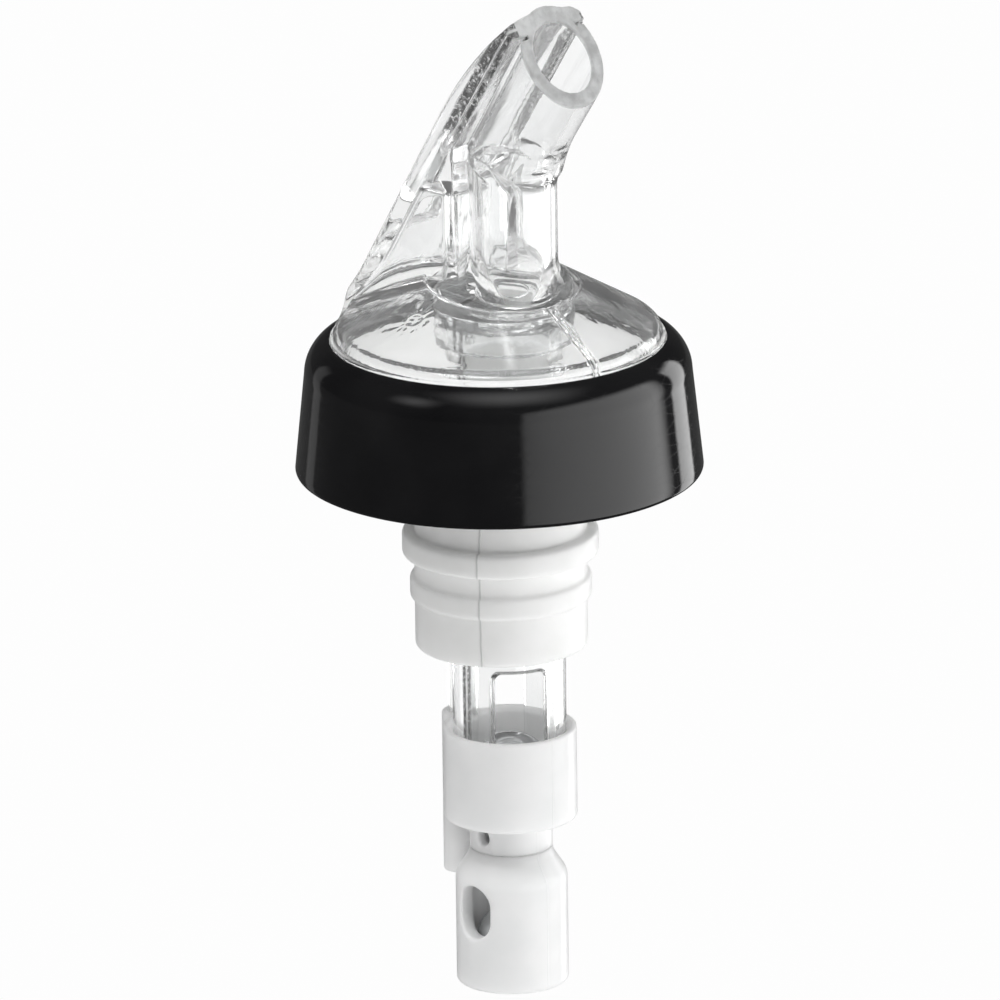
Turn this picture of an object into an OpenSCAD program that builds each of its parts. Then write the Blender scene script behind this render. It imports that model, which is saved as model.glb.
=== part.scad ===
// Three-ball measured liquor pour spout for a bottle.
// Millimetres, +Z up towards the nozzle, pouring towards +X. The origin is on the cork's
// axis, in the plane where the bottle's lip meets the underside of the cork's flange.

/* [Collar] */
// Outer diameter of the collar at its bottom rim
collar_d = 44.1; // [44:0.1:48]
// Height of the collar
collar_h = 15.3; // [12:0.1:17]
// Wall of the collar's skirt
collar_wall = 1.8; // [1.4:0.1:2.4]
// How much the skirt narrows from its rim to its shoulder, on the radius
collar_taper = 1.1; // [0.4:0.1:1.5]
// Radius of the collar's rounded shoulder
collar_shoulder_r = 4.3; // [3.8:0.1:4.6]
// Diameter of the hole that the spout's dome stands through
collar_hole_d = 36.4; // [36.2:0.1:36.8]

/* [Cork] */
// Diameter of the cork's plain body, for a standard bottle mouth
cork_d = 18.7; // [18.4:0.1:19.6]
// Length of the cork below the bottle's lip
cork_len = 29.5; // [27:0.1:31]
// Diameter of the upper sealing rib
rib_top_d = 21.3; // [20:0.1:22]
// Diameter of the lower sealing rib
rib_low_d = 19.7; // [19.4:0.1:21]
// Diameter of the flange that rests on the lip
cork_flange_d = 37.4; // [34:0.1:38]
// Thickness of that flange
cork_flange_t = 3; // [2.6:0.1:3.2]

/* [Spout] */
// Diameter of the spout's own flange, under the collar's top
spout_flange_d = 37.7; // [37.4:0.1:38.2]
// Diameter of the clear dome at its rim
dome_d = 35.8; // [35:0.1:36]
// Wall of the dome and of the hood
skin_t = 1.3; // [1.1:0.1:1.5]
// Offset of the upright post from the cork's axis, towards the pouring side
post_x = 2.5; // [2:0.1:3]
// Outer diameter of the upright post
post_d = 9.6; // [9.2:0.1:10]
// Bore of the upright post
post_bore_d = 6.8; // [6.4:0.1:7]
// Outer diameter of the inclined nozzle
nozzle_d = 10.4; // [9.8:0.1:10.6]
// Bore of the inclined nozzle
nozzle_bore_d = 7.6; // [7.4:0.1:7.8]
// Angle of the nozzle from the vertical
nozzle_tilt = 33; // [28:1:36]
// Height where the nozzle's axis meets the post's
elbow_z = 26.5; // [25:0.1:28]
// Length of the nozzle along its axis, from that point to its end face
nozzle_len = 14.5; // [13:0.1:18]
// Angle of the nozzle's end face from the vertical
face_tilt = 33; // [25:1:38]
// Width of the hood behind the post and nozzle
hood_w = 11.8; // [11:0.1:12.2]
// Width of the hollow in the hood
hood_hollow_w = 8.2; // [7:0.1:8.6]

/* [Tail] */
// Offset of the tail from the cork's axis, towards the pouring side
tail_x = 1.05; // [0.9:0.05:1.2]
// Outer diameter of the clear housing tube
housing_d = 12.3; // [12.1:0.1:12.4]
// Bore of the clear housing tube, in which the timing ball runs
housing_bore_d = 9.9; // [9.8:0.05:10.2]
// Width of each inlet window in the housing
inlet_w = 5.5; // [4.5:0.1:6]
// Direction of the front inlet window, from the pouring direction
inlet_angle = -32.5; // [-45:0.5:-20]
// Outer diameter of the control cup's ring
cup_d = 14.5; // [14.3:0.1:15]
// Outer diameter of the neck below it
neck_d = 9; // [8.8:0.1:9.4]
// Bore of the neck
neck_bore_d = 6; // [5.6:0.1:6.4]
// Diameter of the timing port in the neck, which sets the measured amount
port_d = 1.8; // [1:0.1:2.4]
// Outer diameter of the ball cage
cage_d = 12.2; // [12:0.1:12.6]
// Bore of the ball cage
cage_bore_d = 8.7; // [8.5:0.1:9.2]
// Width of each oval window in the cage
cage_window_w = 4.3; // [3.6:0.1:4.8]

/* [Breather] */
// Distance of the breather from the cork's axis, away from the pouring side
breather_x = 6.75; // [6.7:0.05:6.9]
// Outer diameter of the breather tube
breather_d = 2.3; // [2.1:0.05:2.35]
// Bore of the breather tube
breather_bore_d = 1.3; // [1:0.1:1.4]
// Outer diameter of the breather socket
socket_d = 3.7; // [3.5:0.1:3.9]

/* [Balls] */
// Diameter of the timing ball
timing_ball_d = 9.52; // [9.4:0.01:9.6]
// Diameter of the check ball
check_ball_d = 7.94; // [7.8:0.01:8.1]
// Diameter of the breather's ball
breather_ball_d = 2; // [1.8:0.05:2.1]

/* [Hidden] */
$fn = 96;
eps = 0.01;
slip = 0.05;

// Levels
collar_top_z = 5.5;
collar_bottom_z = collar_top_z - collar_h;
collar_ceiling_z = 4;
seat_top_z = 8.4;
seat_t = 1.5;
seat_hole_d = 5.8;
boss_z = 4.6;
boss_d = 15;
inlet_top_z = -31.1;
cup_top_z = -38.7;
housing_foot_z = -42.9;
cup_floor_z = -48.1;
cup_bottom_z = -48.9;
cage_top_z = -52.4;
cone_top_z = -53;
spigot_z = -55.3;
cone_bottom_z = -55.4;
cage_floor_z = -66.3;
cage_bottom_z = -67.7;
breather_top_z = 3.6;
breather_foot_z = -44;
breather_seat_z = -52.6;
socket_bottom_z = -57;

// Radii that follow from the diameters above
collar_r = collar_d / 2;
collar_side_r = collar_r - collar_taper;
cork_r = cork_d / 2;
dome_r = dome_d / 2;
housing_r = housing_d / 2;
housing_bore_r = housing_bore_d / 2;
cage_r = cage_d / 2;
neck_r = neck_d / 2;
spigot_d = 7.7;
drain_d = 5.2;
outlet_d = 1.2;
rim_d = 36.2;

// The dome: an arc at the rim, then a straight cone up to the post
dome_arc_r = 2;
dome_arc_z = 5.1;
dome_slope = 30;

// How far the nozzle and its bore start behind the elbow, so that they cover the post's top
elbow_lap = post_d / 2 * sin(nozzle_tilt) + 0.4;
elbow_bore_lap = post_bore_d / 2 * sin(nozzle_tilt) + 0.4;

// The nozzle's end face
nozzle_end = [post_x + nozzle_len * sin(nozzle_tilt), elbow_z + nozzle_len * cos(nozzle_tilt)];

// The hood: its back is crowned, straight up to hood_bend and steeper inwards above hood_tip
hood_crown_r = 20;
hood_crown = hood_crown_r - sqrt(hood_crown_r * hood_crown_r - hood_w * hood_w / 4);
hood_tilt = 31.9;
hood_bend = [-2.7, 30.6];
hood_tip_tilt = 46;
hood_tip = [5.5, 40.5];
hood_front = 2.7;
hood_foot_z = 5.6;
hood_wall = 1.2;
hood_ledge_z = 21.8;
air_inlet = [-11.4, 18];
air_inlet_len = 7;
air_inlet_w = 4;
air_inlet_h = 3;

// Where a ball of diameter d settles on, or under, a round hole of diameter hole
function ball_rise(d, hole) = sqrt(d * d - hole * hole) / 2 + eps;

timing_ball_z = cup_floor_z + ball_rise(timing_ball_d, neck_bore_d);
check_ball_z = cage_floor_z + ball_rise(check_ball_d, drain_d);
breather_ball_z = breather_seat_z + ball_rise(breather_ball_d, outlet_d);

// Points along an arc, in the plane of a revolved outline
function arc(centre, r, from, to, steps) =
    [for (i = [0:steps]) centre + r * [cos(from + (to - from) * i / steps),
                                       sin(from + (to - from) * i / steps)]];

// The dome's surface moved inwards by inset, as an outline that closes on the axis
function dome_outline(inset, floor_z) =
    let (centre = [dome_r - dome_arc_r, dome_arc_z],
         edge = arc(centre, dome_arc_r - inset, 0, 90 - dome_slope, 10),
         last = edge[len(edge) - 1])
    concat([[0, floor_z], [dome_r - inset, floor_z]], edge,
           [[0, last[1] + last[0] * tan(dome_slope)]]);

// A round bar or hole along the nozzle's axis
module along_nozzle(d, from, to) {
    translate([post_x, 0, elbow_z])
        rotate([0, nozzle_tilt, 0])
            translate([0, 0, from])
                cylinder(d = d, h = to - from);
}

// A slab of width w whose side view is the polygon points, in X and Z
module side_slab(points, w) {
    rotate([90, 0, 0])
        translate([0, 0, -w / 2])
            linear_extrude(w)
                polygon(points);
}

// A stadium-shaped cutter along Y, w wide and h high
module oval_cutter(w, h, depth) {
    rotate([90, 0, 0])
        translate([0, 0, -depth / 2]) {
            for (side = [-1, 1])
                translate([0, side * (h - w) / 2, 0])
                    cylinder(d = w, h = depth);
            translate([-w / 2, -(h - w) / 2, 0])
                cube([w, h - w, depth]);
        }
}

// A point on a line parallel to the edge of the hood's back, inset from it, at height z
function hood_line(inset, z) =
    [hood_bend[0] + inset / cos(hood_tilt) + (z - hood_bend[1]) * tan(hood_tilt), z];

module collar() {
    inner_r = collar_side_r - collar_wall;
    lip_r = collar_r - collar_wall;
    shoulder_z = collar_top_z - collar_shoulder_r;
    rim_r = 0.5;
    color("#141416")
        rotate_extrude()
            polygon(concat(
                [[lip_r, collar_bottom_z + rim_r], [lip_r + rim_r, collar_bottom_z]],
                arc([collar_r - rim_r, collar_bottom_z + rim_r], rim_r, -90, 0, 6),
                arc([collar_side_r - collar_shoulder_r, shoulder_z], collar_shoulder_r, 0, 66, 12),
                [[collar_hole_d / 2, collar_top_z - 0.3], [collar_hole_d / 2, collar_ceiling_z],
                 [inner_r - 0.2, collar_ceiling_z], [inner_r, collar_ceiling_z - 0.4]]));
}

module dome_solid() {
    rotate_extrude()
        polygon(dome_outline(0, collar_ceiling_z - eps));
}

// A bar whose back is crowned: it leans by tilt, and the edge of its back passes through point
module crowned_bar(point, tilt) {
    depth = hood_crown_r - hood_crown;
    translate([point[0], 0, point[1]])
        rotate([0, tilt, 0])
            translate([depth, 0, -60])
                cylinder(r = hood_crown_r, h = 120);
}

module hood_solid() {
    front_x = post_x - hood_front;
    front_z = elbow_z + hood_front * tan(nozzle_tilt / 2);
    top_z = front_z + 30;
    outline = [[-20, hood_foot_z], [-20, top_z], [front_x + 30 * tan(nozzle_tilt), top_z],
               [front_x, front_z], [front_x, hood_foot_z]];
    intersection() {
        side_slab(outline, hood_w);
        crowned_bar(hood_bend, hood_tilt);
        crowned_bar(hood_tip, hood_tip_tilt);
        cylinder(r = dome_r - 0.1, h = 70);
    }
}

// Everything in front of the nozzle's end face
module beyond_end_face() {
    translate([nozzle_end[0], 0, nozzle_end[1]])
        rotate([0, -face_tilt, 0])
            translate([0, -20, -30])
                cube([40, 40, 60]);
}

// The air space: under the dome, round the boss, and up the hollow of the hood
module air_space() {
    post_back = post_x - post_d / 2 - 0.4;
    boss_back = tail_x - boss_d / 2 - 0.15;
    floor_z = seat_top_z + 2;
    chamber = [hood_line(hood_wall, boss_z), hood_line(hood_wall, hood_ledge_z),
               [post_back, hood_ledge_z], [post_back, floor_z],
               [boss_back, floor_z], [boss_back, boss_z]];
    difference() {
        rotate_extrude()
            polygon(dome_outline(skin_t, cork_flange_t - 1));
        translate([tail_x, 0, boss_z])
            cylinder(d = boss_d, h = 20);
    }
    intersection() {
        side_slab(chamber, hood_hollow_w);
        cylinder(r = dome_r - skin_t - 0.2, h = 60);
    }
    // Inlet through the hood's back
    translate([air_inlet[0], 0, air_inlet[1]])
        cube([air_inlet_len, air_inlet_w, air_inlet_h], center = true);
}

module spout_body() {
    color("#dfe6ea", 0.45)
        difference() {
            union() {
                translate([0, 0, cork_flange_t])
                    cylinder(d = spout_flange_d, h = collar_ceiling_z - cork_flange_t);
                dome_solid();
                translate([0, 0, collar_ceiling_z - eps])
                    cylinder(d = rim_d, h = collar_top_z - collar_ceiling_z - 0.15);
                translate([post_x, 0, seat_top_z])
                    cylinder(d = post_d, h = elbow_z - seat_top_z);
                along_nozzle(nozzle_d, -elbow_lap, nozzle_len + 8);
                hood_solid();
            }
            air_space();
            // Liquid way: socket for the housing, post, elbow and nozzle
            translate([tail_x, 0, boss_z - 1])
                cylinder(r = housing_r + slip, h = seat_top_z - boss_z + 1);
            translate([post_x, 0, seat_top_z - 1])
                cylinder(d = post_bore_d, h = elbow_z - seat_top_z + 1);
            along_nozzle(nozzle_bore_d, -elbow_bore_lap, nozzle_len + 10);
            beyond_end_face();
        }
}

module rib(d, z, half_h) {
    translate([0, 0, z])
        rotate_extrude()
            polygon(concat([[cork_r - 1, -half_h], [cork_r, -half_h]],
                           [for (a = [-75:15:75])
                                [cork_r + (d / 2 - cork_r) * cos(a), half_h * sin(a)]],
                           [[cork_r, half_h], [cork_r - 1, half_h]]));
}

module cork() {
    edge = 0.4;
    color("#e9eae8")
        difference() {
            union() {
                cylinder(d = cork_flange_d, h = cork_flange_t);
                rotate_extrude()
                    polygon([[0, -cork_len], [cork_r - edge, -cork_len], [cork_r, -cork_len + edge],
                             [cork_r, eps], [0, eps]]);
                rib(rib_top_d, -17.8, 1.3);
                rib(rib_low_d, -22.8, 1.2);
            }
            translate([tail_x, 0, -cork_len - 1])
                cylinder(r = housing_r + slip, h = cork_len + cork_flange_t + 2);
            translate([-breather_x, 0, -cork_len - 1])
                cylinder(d = breather_d + 2 * slip, h = cork_len + cork_flange_t + 2);
        }
}

module tail_housing() {
    color("#dfe6ea", 0.45)
        translate([tail_x, 0, 0])
            difference() {
                translate([0, 0, housing_foot_z])
                    cylinder(r = housing_r, h = seat_top_z - housing_foot_z);
                translate([0, 0, housing_foot_z - 1])
                    cylinder(r = housing_bore_r, h = seat_top_z - seat_t - housing_foot_z + 1);
                translate([0, 0, seat_top_z - seat_t - 1])
                    cylinder(d = seat_hole_d, h = seat_t + 2);
                // Two inlet windows, open at the foot, on opposite sides
                rotate([0, 0, inlet_angle])
                    difference() {
                        translate([-10, -inlet_w / 2, housing_foot_z - 1])
                            cube([20, inlet_w, inlet_top_z - housing_foot_z + 1]);
                        // Rounded top corners
                        for (side = [-1, 1])
                            translate([0, side * inlet_w / 2, inlet_top_z])
                                rotate([45, 0, 0])
                                    cube([22, 1, 1], center = true);
                    }
            }
}

module breather_tube() {
    color("#dfe6ea", 0.45)
        translate([-breather_x, 0, breather_foot_z])
            difference() {
                cylinder(d = breather_d, h = breather_top_z - breather_foot_z);
                translate([0, 0, -1])
                    cylinder(d = breather_bore_d, h = breather_top_z - breather_foot_z + 2);
            }
}

module control_cup() {
    lip = 0.45;
    color("#e6e7e8")
        difference() {
            union() {
                translate([tail_x, 0, cup_bottom_z])
                    cylinder(d = cup_d, h = cup_top_z - cup_bottom_z);
                translate([tail_x, 0, cage_top_z])
                    cylinder(d = neck_d, h = cup_bottom_z - cage_top_z + eps);
                translate([tail_x, 0, spigot_z])
                    cylinder(d = spigot_d, h = cage_top_z - spigot_z + eps);
                // Breather socket, with a relief for the cage, and its web to the neck
                difference() {
                    translate([-breather_x, 0, socket_bottom_z])
                        cylinder(d = socket_d, h = cup_top_z - socket_bottom_z);
                    translate([tail_x, 0, socket_bottom_z - 1])
                        cylinder(r = cage_r + 0.15, h = cage_top_z - socket_bottom_z);
                }
                translate([-breather_x + 1, -0.7, cage_top_z + 0.3])
                    cube([breather_x + tail_x - neck_r, 1.4, cup_bottom_z - cage_top_z]);
            }
            translate([tail_x, 0, housing_foot_z])
                cylinder(r = housing_r + slip, h = cup_top_z - housing_foot_z + 1);
            translate([tail_x, 0, cup_top_z - lip])
                cylinder(r1 = housing_r + slip, r2 = housing_r + slip + lip, h = lip + eps);
            translate([tail_x, 0, cup_floor_z])
                cylinder(r = housing_bore_r, h = 10);
            translate([tail_x, 0, spigot_z - 1])
                cylinder(d = neck_bore_d, h = 20);
            // Timing port
            translate([tail_x, 0, -50.6])
                rotate([90, 0, 0])
                    cylinder(d = port_d, h = 8);
            // Breather: socket and ball chamber, then the outlet
            translate([-breather_x, 0, breather_seat_z])
                cylinder(d = breather_d + 2 * slip, h = 30);
            translate([-breather_x, 0, socket_bottom_z - 1])
                cylinder(d = outlet_d, h = 20);
        }
}

module ball_cage() {
    edge = 0.4;
    color("#e6e7e8")
        translate([tail_x, 0, 0])
            difference() {
                rotate_extrude()
                    polygon([[0, cage_bottom_z], [cage_r - edge, cage_bottom_z],
                             [cage_r, cage_bottom_z + edge], [cage_r, cone_bottom_z],
                             [neck_r, cone_top_z], [neck_r, cage_top_z], [0, cage_top_z]]);
                translate([0, 0, spigot_z])
                    cylinder(d = spigot_d + 2 * slip, h = 10);
                translate([0, 0, cage_floor_z])
                    cylinder(d = cage_bore_d, h = spigot_z - cage_floor_z + eps);
                translate([0, 0, cage_bottom_z - 1])
                    cylinder(d = drain_d, h = 5);
                translate([0, 0, -58.8])
                    oval_cutter(cage_window_w, 6, 20);
            }
}

module ball(x, z, d) {
    color("#b9bcc0")
        translate([x, 0, z])
            sphere(d = d);
}

module timing_ball() {
    ball(tail_x, timing_ball_z, timing_ball_d);
}

module check_ball() {
    ball(tail_x, check_ball_z, check_ball_d);
}

module breather_ball() {
    ball(-breather_x, breather_ball_z, breather_ball_d);
}

collar();
spout_body();
cork();
tail_housing();
breather_tube();
control_cup();
ball_cage();
timing_ball();
check_ball();
breather_ball();
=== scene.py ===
"""Looks of a three-ball measured liquor pour spout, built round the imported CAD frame.

Moulded pieces are signed distance fields in millimetres, meshed by a surface net, so that every
corner has the small radius that a moulding has. Blender objects are in metres.
"""

import math

import bpy
import numpy as np
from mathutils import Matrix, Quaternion, Vector


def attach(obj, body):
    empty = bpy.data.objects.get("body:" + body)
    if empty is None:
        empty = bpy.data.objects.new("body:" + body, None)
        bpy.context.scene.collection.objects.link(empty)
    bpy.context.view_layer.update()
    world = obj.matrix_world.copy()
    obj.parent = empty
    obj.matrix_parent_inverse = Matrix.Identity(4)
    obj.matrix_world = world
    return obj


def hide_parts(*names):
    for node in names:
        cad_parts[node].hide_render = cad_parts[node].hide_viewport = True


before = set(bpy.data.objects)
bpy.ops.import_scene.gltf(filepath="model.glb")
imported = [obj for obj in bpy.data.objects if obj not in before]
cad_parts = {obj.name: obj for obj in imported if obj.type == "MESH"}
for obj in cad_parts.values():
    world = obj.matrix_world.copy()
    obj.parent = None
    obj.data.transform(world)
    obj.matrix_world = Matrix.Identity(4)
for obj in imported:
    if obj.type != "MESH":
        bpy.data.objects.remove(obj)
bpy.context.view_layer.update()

MM = 0.001
BODY = "pourer"

# ---------------------------------------------------------------- sizes, in mm, as in the CAD

TAIL_X = 1.05
POST_X, POST_R, POST_BORE_R = 2.5, 4.8, 3.4
NOZZLE_R, NOZZLE_BORE_R, NOZZLE_TILT, NOZZLE_LEN = 5.2, 3.8, 33.0, 14.5
NOZZLE_FLARE = 0.02
ELBOW_Z = 26.5
FACE_TILT = 33.0
DOME_R, DOME_ARC_R, DOME_ARC_Z, DOME_SLOPE = 17.9, 2.0, 5.1, 30.0
RIM_R, RIM_TOP_Z = 18.1, 5.35
SKIN = 1.3
SPOUT_FLANGE_R, FLANGE_TOP_Z = 18.85, 4.0
CORK_R, CORK_LEN, CORK_FLANGE_R, CORK_FLANGE_T = 9.35, 29.5, 18.7, 3.0
HOOD_TILT, HOOD_BEND, HOOD_BEND_R = 31.9, (-2.68, 30.6), 47.0
HOOD_W, HOOD_DRAFT, HOOD_CROWN_R, HOOD_WALL = 11.8, 0.03, 20.0, 1.5
HOOD_Y = -0.3
HOOD_FRONT, HOOD_LEDGE_Z, CHAMBER_W = 2.7, 21.8, 8.2
FLUTES, FLUTE_DEPTH, FLUTE_END_Z = ((-4.6, 0.65), (-3.35, 0.3)), 0.3, 26.0
# The last two give the place and width of the painted shadow line in the groove before the hood.
FLUTE_FLOOR_Y, GROOVE_FLOOR_Y, GROOVE_SHADOW_OFF, GROOVE_SHADOW_WIDTH = 4.7, 3.5, -2.82, 0.18
HOUSING_R, HOUSING_BORE_R, HOUSING_FOOT_Z, SEAT_TOP_Z, SEAT_T = 6.15, 4.95, -42.9, 8.4, 1.5
INLET_W, INLET_TOP_Z, INLET_ANGLE = 5.5, -31.1, -32.5
BOSS_R, BOSS_Z = 7.5, 4.6
CUP_R, CUP_TOP_Z, CUP_BOTTOM_Z, CUP_FLOOR_Z = 7.25, -38.7, -48.9, -48.1
NECK_R, NECK_BORE_R, SPIGOT_R, SPIGOT_Z = 4.5, 3.0, 3.85, -55.3
CAGE_R, CAGE_TOP_Z, CAGE_BOTTOM_Z, CAGE_FLOOR_Z, CAGE_BORE_R = 6.1, -52.4, -67.7, -66.3, 4.35
CONE_TOP_Z, CONE_BOTTOM_Z = -53.0, -55.4
BREATHER_X, BREATHER_R, BREATHER_BORE_R = -6.75, 1.15, 0.65
SOCKET_R, SOCKET_BOTTOM_Z, BREATHER_SEAT_Z = 1.85, -57.0, -52.6
COLLAR_R, COLLAR_SIDE_R, COLLAR_WALL, SHOULDER_R = 22.05, 20.95, 1.8, 4.3
COLLAR_TOP_Z, COLLAR_BOTTOM_Z, COLLAR_HOLE_R = 5.5, -9.8, 18.2
SEAT_HOLE_R, PORT_R, DRAIN_R, OUTLET_R = 2.9, 0.9, 2.6, 0.6
PORT_Z, WINDOW_Z, WINDOW_R, WINDOW_RISE = -50.6, -58.8, 2.15, 0.85
BREATHER_TOP_Z, BREATHER_FOOT_Z = 3.6, -44.0
WEB_Z, WEB_SIZE = -50.4, (4.0, 1.4, 3.4)
AIR_INLET, AIR_INLET_SIZE = (-11.4, 0, 18), (7, 4, 3)

# Cork ribs: radius, level and half height
CORK_RIBS = ((10.65, -17.8, 1.35), (9.85, -22.8, 1.25))

# Radial clearance of the push fits
GAP = 0.05

# Parting rib under the dome, in degrees from +X, and the gate on the dome's side
PARTING = -7.0
GATE = (-0.5, -12.1, 9.65)


def turn(angle):
    """Sine and cosine of an angle in degrees."""
    return math.sin(math.radians(angle)), math.cos(math.radians(angle))


# ---------------------------------------------------------------- distance fields

def join(a, b, k):
    """Union of two fields with a fillet of about k."""
    h = np.maximum(k - np.abs(a - b), 0) / k
    return np.minimum(a, b) - h * h * k / 4


def cut(a, b, k):
    """Field a with field b taken away, the edge rounded by about k."""
    return -join(-a, b, k)


def common(a, b, k):
    """What fields a and b share, the edge rounded by about k."""
    return -join(-a, -b, k)


def corner(a, b, r):
    """Two half-space distances that meet at right angles, rounded by r."""
    a, b = a + r, b + r
    return np.hypot(np.maximum(a, 0), np.maximum(b, 0)) + np.minimum(np.maximum(a, b), 0) - r


def rod(p, x, y, radius, low, high, edge=0.15):
    """A vertical cylinder with rounded edges."""
    side = np.hypot(p[0] - x, p[1] - y) - radius
    ends = np.abs(p[2] - (low + high) / 2) - (high - low) / 2
    return corner(side, ends, edge)


def block(p, centre, size, edge=0.2):
    """A box with rounded edges."""
    d = [np.abs(p[i] - centre[i]) - size[i] / 2 + edge for i in range(3)]
    outside = np.sqrt(sum(np.maximum(v, 0) ** 2 for v in d))
    return outside + np.minimum(np.maximum(np.maximum(d[0], d[1]), d[2]), 0) - edge


def nozzle_axes(p):
    """Distance along the nozzle's axis from the elbow, and from the axis in its side view."""
    s, c = turn(NOZZLE_TILT)
    x, z = p[0] - POST_X, p[2] - ELBOW_Z
    return x * s + z * c, x * c - z * s


def nozzle_rod(p, radius, start, flare=0.0):
    """A round bar along the nozzle, which starts below the elbow and runs past the end face."""
    along, off = nozzle_axes(p)
    side = np.hypot(off, p[1]) - radius - flare * along
    return corner(side, start - along, 0.15)


def hood_inward(p):
    """Distance in from the hood's crowned back, whose upper part bends forward."""
    s, c = turn(HOOD_TILT)
    x, z = p[0] - HOOD_BEND[0], p[2] - HOOD_BEND[1]
    flat, along = x * c - z * s, x * s + z * c
    bent = HOOD_BEND_R - np.hypot(flat - HOOD_BEND_R, along)
    y = np.minimum(np.abs(p[1] - HOOD_Y), HOOD_W / 2 + 1)
    crown = np.sqrt(HOOD_CROWN_R ** 2 - y * y) - math.sqrt(HOOD_CROWN_R ** 2 - HOOD_W ** 2 / 4)
    return np.where(along > 0, bent, flat) + crown


def dome(p, inset):
    """The dome's surface moved inwards by inset: a cone that rolls into the rim's arc."""
    s, c = turn(DOME_SLOPE)
    r, z = np.hypot(p[0], p[1]) - (DOME_R - DOME_ARC_R), p[2] - DOME_ARC_Z
    in_corner = (z > 0) & (z * s - r * c < 0)
    return np.where(in_corner, np.hypot(r, z), np.maximum(r, r * s + z * c)) - DOME_ARC_R + inset


def mesh_field(name, field, low, high, step):
    """Meshes field(p) = 0 inside the box low..high as a closed surface net, in metres."""
    counts = [int(math.ceil((b - a) / step)) + 1 for a, b in zip(low, high)]
    axes = [(low[i] + step * np.arange(counts[i])).astype(np.float32) for i in range(3)]
    value = np.empty(counts, np.float32)
    slab = 24
    for i in range(0, counts[0], slab):
        p = np.meshgrid(axes[0][i:i + slab], axes[1], axes[2], indexing="ij")
        value[i:i + slab] = field(p)
    inside = value < 0
    cells = np.array(counts) - 1
    strides = np.array([cells[1] * cells[2], cells[2], 1])
    owners, points, quads = [], [], []
    # Every grid edge that crosses the surface makes one face between the four cells round it
    for axis in range(3):
        near = [slice(None)] * 3
        far = [slice(None)] * 3
        near[axis], far[axis] = slice(0, -1), slice(1, None)
        near, far = tuple(near), tuple(far)
        at = np.array(np.nonzero(inside[near] != inside[far])).T
        v0, v1 = value[near][tuple(at.T)], value[far][tuple(at.T)]
        where = at.astype(float)
        where[:, axis] += v0 / (v0 - v1)
        u, v = (axis + 1) % 3, (axis + 2) % 3
        ring = []
        for du, dv in ((1, 1), (0, 1), (0, 0), (1, 0)):
            cell = at.copy()
            cell[:, u] -= du
            cell[:, v] -= dv
            ring.append(cell @ strides)
            owners.append(ring[-1])
            points.append(where)
        quad = np.array(ring).T
        outward = v0 < v1
        quads.append(np.where(outward[:, None], quad, quad[:, ::-1]))
    owners, points, quads = map(np.concatenate, (owners, points, quads))
    # A cell's point is the mean of the crossings on its own edges
    names, index = np.unique(owners, return_inverse=True)
    hits = np.bincount(index)
    co = np.stack([np.bincount(index, points[:, i]) / hits for i in range(3)], 1) * step + low
    faces = np.searchsorted(names, quads)
    co = settle(field, co, step)
    return make_mesh(name, co * MM, faces)


def slope(field, co, reach):
    """Gradient of the field at points co, by central differences."""
    out = np.empty_like(co)
    for i in range(3):
        shift = np.zeros(3)
        shift[i] = reach
        out[:, i] = (field((co + shift).T) - field((co - shift).T)) / (2 * reach)
    return out


def settle(field, co, step):
    """Moves net points on to the field's zero surface."""
    for _ in range(3):
        g = slope(field, co, 0.02)
        move = field(co.T)[:, None] * g / np.maximum((g * g).sum(1), 0.1)[:, None]
        co = co - np.clip(move, -step / 2, step / 2)
    return co


def make_mesh(name, co, faces):
    """A smooth mesh object from points in metres and four-sided faces."""
    mesh = bpy.data.meshes.new(name)
    mesh.vertices.add(len(co))
    mesh.vertices.foreach_set("co", co.astype(np.float32).ravel())
    mesh.loops.add(faces.size)
    mesh.loops.foreach_set("vertex_index", faces.astype(np.int32).ravel())
    mesh.polygons.add(len(faces))
    mesh.polygons.foreach_set("loop_start", np.arange(0, faces.size, 4, dtype=np.int32))
    mesh.update(calc_edges=True)
    mesh.validate()
    mesh.shade_smooth()
    obj = bpy.data.objects.new(name, mesh)
    bpy.context.scene.collection.objects.link(obj)
    return obj


# ---------------------------------------------------------------- fields of the moulded pieces

def face_distance(p):
    """Distance in front of the nozzle's cut end face."""
    s, c = turn(FACE_TILT)
    ns, nc = turn(NOZZLE_TILT)
    x = p[0] - POST_X - NOZZLE_LEN * ns
    z = p[2] - ELBOW_Z - NOZZLE_LEN * nc
    return x * c + z * s


def hood(p):
    """The solid behind the nozzle and post: crowned back, drafted sides with two flutes, flat front."""
    x, y, z = p
    _, off = nozzle_axes(p)
    front = np.minimum(off + HOOD_FRONT, x - POST_X + HOOD_FRONT)
    # The flutes fade out at their foot, and the back edge is rounder near the top on the +Y side
    fade = 0.5 + 0.5 * np.tanh((z - FLUTE_END_Z + 0.6 * off) / 1.2)
    flute = sum(np.exp(-((off - at) / width) ** 4) for at, width in FLUTES) * FLUTE_DEPTH * fade
    sides = np.abs(y - HOOD_Y) - HOOD_W / 2 + HOOD_DRAFT * (off + 7.0) + flute
    edge = 0.7 + 1.3 * np.clip((y - 2) / 3, 0, 1) * np.clip((z - 34) / 6, 0, 1)
    block_behind = common(-hood_inward(p), sides, edge)
    block_behind = common(block_behind, front, 0.35)
    groove = np.maximum(np.abs(front + 0.12) - 0.2, GROOVE_FLOOR_Y + 0.1 - np.abs(y))
    return block_behind, groove


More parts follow.
